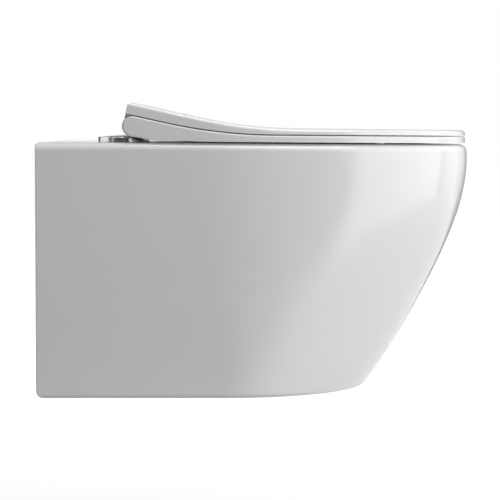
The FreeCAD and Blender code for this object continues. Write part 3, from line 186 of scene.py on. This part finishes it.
def glazed_ceramic():
    """White glaze over vitreous china, bare and chalky on the hidden rear edge and inside the skirt."""
    t = Tree("glazed_ceramic")
    x, y, z = t.axes()
    cloud = t.noise(6.0, 2.0)
    glaze = t.blend(cloud, (0.85, 0.85, 0.84), (0.88, 0.88, 0.872))
    body = t.blend(t.noise(420.0, 4.0), (0.69, 0.665, 0.62), (0.77, 0.75, 0.71))
    specks = t.math("MULTIPLY", t.spots(260.0, 0.09), 0.35)
    body = t.blend(specks, body, (0.45, 0.4, 0.34))

    off_centre = t.math("ABSOLUTE", x)
    skirt = PAN_HIGH.x - SKIRT
    base = PAN_LOW.z + BASE
    inside_x = t.remap(off_centre, skirt + BARE_DEPTH, skirt + GLAZE_DEPTH, 1.0, 0.0)
    above_base = t.remap(z, base - GLAZE_DEPTH, base - BARE_DEPTH, 0.0, 1.0)
    below_deck = t.remap(z, DECK - DECK_BARE, DECK - DECK_GLAZED, 1.0, 0.0)
    behind_bowl = t.remap(y, BOWL_BACK + BAY_GLAZED, BOWL_BACK + BAY_BARE, 0.0, 1.0)
    between = t.math("MULTIPLY", inside_x, above_base)
    under = t.math("MULTIPLY", below_deck, behind_bowl)
    hollow = t.math("MULTIPLY", between, under)
    wander = t.math("MULTIPLY", t.noise(45.0), REAR_WANDER)
    rear_edge = t.remap(t.math("ADD", y, wander), REAR_GLAZED, REAR_BARE, 0.0, 1.0)
    bare = t.math("MAXIMUM", hollow, rear_edge)

    t.feed("Base Color", t.blend(bare, glaze, body))
    smooth = t.remap(t.noise(38.0, 3.0), 0.3, 0.7, 0.10, 0.17)
    gloss = t.add("ShaderNodeMix")
    t.join(bare, gloss.inputs["Factor"])
    t.join(smooth, gloss.inputs["A"])
    gloss.inputs["B"].default_value = 0.72
    t.feed("Roughness", gloss.outputs["Result"])
    t.set(IOR=1.52, Subsurface_Weight=0.04, Subsurface_Scale=0.004)
    t.shader.inputs["Subsurface Radius"].default_value = (1.0, 0.95, 0.85)
    flow = t.bump(t.noise(9.0, 1.0, 0.4), 0.0009, 0.30)
    peel = t.bump(t.noise(190.0, 2.0, 0.45), 0.00006, 0.35, flow)
    grain = t.bump(t.math("MULTIPLY", t.noise(900.0, 3.0), bare), 0.00035, 0.6, peel)
    t.feed("Normal", grain)
    return t.material


def seat_plastic():
    """Pressed thermoset of seat and lid: a bright, very smooth white."""
    t = Tree("seat_plastic")
    t.feed("Base Color", t.blend(t.noise(5.0, 2.0), (0.86, 0.86, 0.855), (0.885, 0.885, 0.88)))
    t.feed("Roughness", t.remap(t.noise(70.0, 4.0), 0.3, 0.75, 0.13, 0.21))
    t.set(IOR=1.55, Subsurface_Weight=0.03, Subsurface_Scale=0.003)
    flow = t.bump(t.noise(7.0, 1.0, 0.4), 0.0006, 0.25)
    t.feed("Normal", t.bump(t.noise(330.0, 2.0, 0.5), 0.00004, 0.35, flow))
    return t.material


def white_plastic():
    """The flush splitter in the bowl."""
    t = Tree("white_plastic")
    t.feed("Base Color", t.blend(t.noise(30.0), (0.80, 0.80, 0.79), (0.85, 0.85, 0.84)))
    t.feed("Roughness", t.remap(t.noise(160.0), 0.3, 0.7, 0.24, 0.38))
    t.feed("Normal", t.bump(t.noise(600.0), 0.00006, 0.5))
    return t.material


def chrome():
    """Polished chrome with faint wiping marks and a little haze."""
    t = Tree("chrome")
    t.feed("Base Color", t.blend(t.noise(24.0), (0.74, 0.745, 0.755), (0.80, 0.80, 0.805)))
    t.feed("Roughness", t.remap(t.noise(150.0, 5.0), 0.35, 0.75, 0.17, 0.25))
    t.set(Metallic=1.0)
    t.feed("Normal", t.bump(t.noise(95.0, 2.0), 0.00005, 0.25))
    return t.material


def steel(name, dark, bright, roughness, stretch):
    """Metal with fine marks drawn out along one axis."""
    t = Tree(name)
    drawn = t.add("ShaderNodeMapping")
    drawn.inputs["Scale"].default_value = stretch
    t.join(t.place, drawn.inputs["Vector"])
    marks = t.add("ShaderNodeTexNoise")
    marks.inputs["Scale"].default_value = 260.0
    marks.inputs["Detail"].default_value = 5.0
    t.join(drawn.outputs["Vector"], marks.inputs["Vector"])
    t.feed("Base Color", t.blend(marks.outputs["Fac"], dark, bright))
    t.feed("Roughness", t.remap(marks.outputs["Fac"], 0.3, 0.7, roughness - 0.08, roughness + 0.08))
    t.set(Metallic=1.0)
    t.feed("Normal", t.bump(marks.outputs["Fac"], 0.00008, 0.4))
    return t.material


def zinc_plate():
    """Passivated zinc: cool grey with a faint spangle and a few dull patches."""
    t = Tree("zinc_plate")
    cells = t.add("ShaderNodeTexVoronoi")
    cells.inputs["Scale"].default_value = 130.0
    t.join(t.place, cells.inputs["Vector"])
    spangle = t.add("ShaderNodeRGBToBW")
    t.join(cells.outputs["Color"], spangle.inputs["Color"])
    tone = t.blend(spangle.outputs["Val"], (0.50, 0.52, 0.54), (0.60, 0.61, 0.62))
    t.feed("Base Color", t.blend(t.math("MULTIPLY", t.noise(18.0, 4.0), 0.45), tone, (0.68, 0.67, 0.64)))
    t.feed("Roughness", t.remap(t.noise(60.0, 4.0), 0.3, 0.7, 0.30, 0.46))
    t.set(Metallic=1.0)
    t.feed("Normal", t.bump(spangle.outputs["Val"], 0.00005, 0.3))
    return t.material


def rubber(name, dark, bright, roughness):
    t = Tree(name)
    t.feed("Base Color", t.blend(t.noise(120.0, 4.0), dark, bright))
    t.feed("Roughness", t.remap(t.noise(240.0), 0.3, 0.7, roughness - 0.07, roughness + 0.07))
    t.feed("Normal", t.bump(t.noise(1100.0, 3.0), 0.00012, 0.55))
    return t.material


def moulded_plastic(name, dark, bright, roughness):
    t = Tree(name)
    t.feed("Base Color", t.blend(t.noise(45.0), dark, bright))
    t.feed("Roughness", t.remap(t.noise(300.0), 0.3, 0.7, roughness - 0.06, roughness + 0.06))
    t.feed("Normal", t.bump(t.noise(1400.0), 0.0001, 0.5))
    return t.material


MATERIALS = {
    "glazed_white": glazed_ceramic(),
    "seat_white": seat_plastic(),
    "white_plastic": white_plastic(),
    "chrome": chrome(),
    "stainless": steel("stainless", (0.52, 0.52, 0.52), (0.66, 0.66, 0.655), 0.27, (1.0, 14.0, 1.0)),
    "zinc_steel": zinc_plate(),
    "black_rubber": rubber("black_rubber", (0.020, 0.020, 0.021), (0.040, 0.040, 0.042), 0.62),
    "pale_rubber": rubber("pale_rubber", (0.66, 0.66, 0.64), (0.74, 0.74, 0.72), 0.42),
    "grey_plastic": moulded_plastic("grey_plastic", (0.15, 0.15, 0.155), (0.20, 0.20, 0.205), 0.42),
}


def dress_nodes():
    """Every node gets the material of its slot."""
    for subpart in frame["record"]["subparts"]:
        piece = NODES[subpart["node"]]
        piece.data.materials.clear()
        piece.data.materials.append(MATERIALS[subpart["material_slot"]])


# ---------------------------------------------------------------- studio


def area_light(name, place, width, height, power):
    """A soft lamp turned to the part; without a height it is square."""
    data = bpy.data.lights.new(name, "AREA")
    data.energy = power
    data.size = width
    if height:
        data.shape = "RECTANGLE"
        data.size_y = height
    lamp = bpy.data.objects.new(name, data)
    bpy.context.scene.collection.objects.link(lamp)
    lamp.location = place
    lamp.rotation_euler = (Vector(LIT_POINT) - Vector(place)).to_track_quat("-Z", "Y").to_euler()


def shown_directly(nodes, links):
    """1 for rays that show the background itself, to the camera or in metal and glass."""
    path = nodes.new("ShaderNodeLightPath")
    either = nodes.new("ShaderNodeMath")
    either.operation = "MAXIMUM"
    links.new(path.outputs["Is Camera Ray"], either.inputs[0])
    links.new(path.outputs["Is Glossy Ray"], either.inputs[1])
    every = nodes.new("ShaderNodeMath")
    every.operation = "MAXIMUM"
    links.new(either.outputs[0], every.inputs[0])
    links.new(path.outputs["Is Transmission Ray"], every.inputs[1])
    return every.outputs[0]


def make_world():
    """White where it is seen, and a weak even light on the part."""
    world = bpy.data.worlds.new("studio")
    bpy.context.scene.world = world
    world.use_nodes = True
    nodes, links = world.node_tree.nodes, world.node_tree.links
    background = nodes["Background"]
    background.inputs["Color"].default_value = (1.0, 1.0, 1.0, 1.0)
    strength = nodes.new("ShaderNodeMapRange")
    strength.inputs["To Min"].default_value = WORLD_LEVEL
    strength.inputs["To Max"].default_value = 1.0
    links.new(shown_directly(nodes, links), strength.inputs["Value"])
    links.new(strength.outputs["Result"], background.inputs["Strength"])


def plane(name, width, depth, material):
    """A flat sheet that belongs to the studio."""
    mesh = bpy.data.meshes.new(name)
    form = bmesh.new()
    bmesh.ops.create_grid(form, x_segments=1, y_segments=1, size=0.5)
    bmesh.ops.scale(form, vec=(width, depth, 1.0), verts=form.verts)
    form.to_mesh(mesh)
    form.free()
    mesh.materials.append(material)
    sheet = bpy.data.objects.new(name, mesh)
    bpy.context.scene.collection.objects.link(sheet)
    return sheet


def make_floor():
    """A pale floor that keeps the shadow and fades into the white background."""
    material = bpy.data.materials.new("floor")
    material.use_nodes = True
    nodes, links = material.node_tree.nodes, material.node_tree.links
    shader = nodes["Principled BSDF"]
    shader.inputs["Base Color"].default_value = (FLOOR_SHADE, FLOOR_SHADE, FLOOR_SHADE, 1.0)
    shader.inputs["Roughness"].default_value = 0.9
    shader.inputs["Emission Color"].default_value = (1.0, 1.0, 1.0, 1.0)
    place = nodes.new("ShaderNodeTexCoord")
    reach = nodes.new("ShaderNodeVectorMath")
    reach.operation = "LENGTH"
    links.new(place.outputs["Object"], reach.inputs[0])
    fade = nodes.new("ShaderNodeMapRange")
    fade.inputs["From Min"].default_value = FLOOR_NEAR
    fade.inputs["From Max"].default_value = FLOOR_FAR
    fade.inputs["To Min"].default_value = FLOOR_GLOW
    fade.inputs["To Max"].default_value = 1.0
    links.new(reach.outputs["Value"], fade.inputs["Value"])
    glow = nodes.new("ShaderNodeMath")
    glow.operation = "MULTIPLY"
    links.new(shown_directly(nodes, links), glow.inputs[0])
    links.new(fade.outputs["Result"], glow.inputs[1])
    links.new(glow.outputs[0], shader.inputs["Emission Strength"])
    floor = plane("floor", FLOOR_SIZE, FLOOR_SIZE, material)
    floor.location = (0.0, 0.0, PAN_LOW.z - FLOOR_DROP)


def make_cards():
    """Dark cards that only reflections show: they draw the edges of glaze and chrome."""
    material = bpy.data.materials.new("dark_card")
    material.use_nodes = True
    shader = material.node_tree.nodes["Principled BSDF"]
    shader.inputs["Base Color"].default_value = (CARD_SHADE, CARD_SHADE, CARD_SHADE, 1.0)
    shader.inputs["Roughness"].default_value = 1.0
    for name, middle, width, height in CARDS:
        card = plane(name, width, height, material)
        card.location = middle
        card.rotation_euler = (math.radians(90.0), 0.0, math.radians(90.0))
        card.visible_camera = False
        card.visible_diffuse = False
        card.visible_shadow = False


def make_camera():
    """The photograph's view, square on to the part's left side."""
    data = bpy.data.cameras.new("camera")
    data.lens = LENS
    data.sensor_width = SENSOR
    camera = bpy.data.objects.new("camera", data)
    bpy.context.scene.collection.objects.link(camera)
    camera.location = (-VIEW_DISTANCE, -VIEW_FROM_WALL, VIEW_HEIGHT)
    camera.rotation_euler = (math.radians(90.0 - VIEW_PITCH), 0.0, math.radians(-90.0))
    bpy.context.scene.camera = camera


# ---------------------------------------------------------------- scene

dress_nodes()
make_world()
make_floor()
make_cards()
for lamp_row in LAMPS:
    area_light(*lamp_row)
make_camera()
bpy.context.scene.view_settings.view_transform = "Standard"
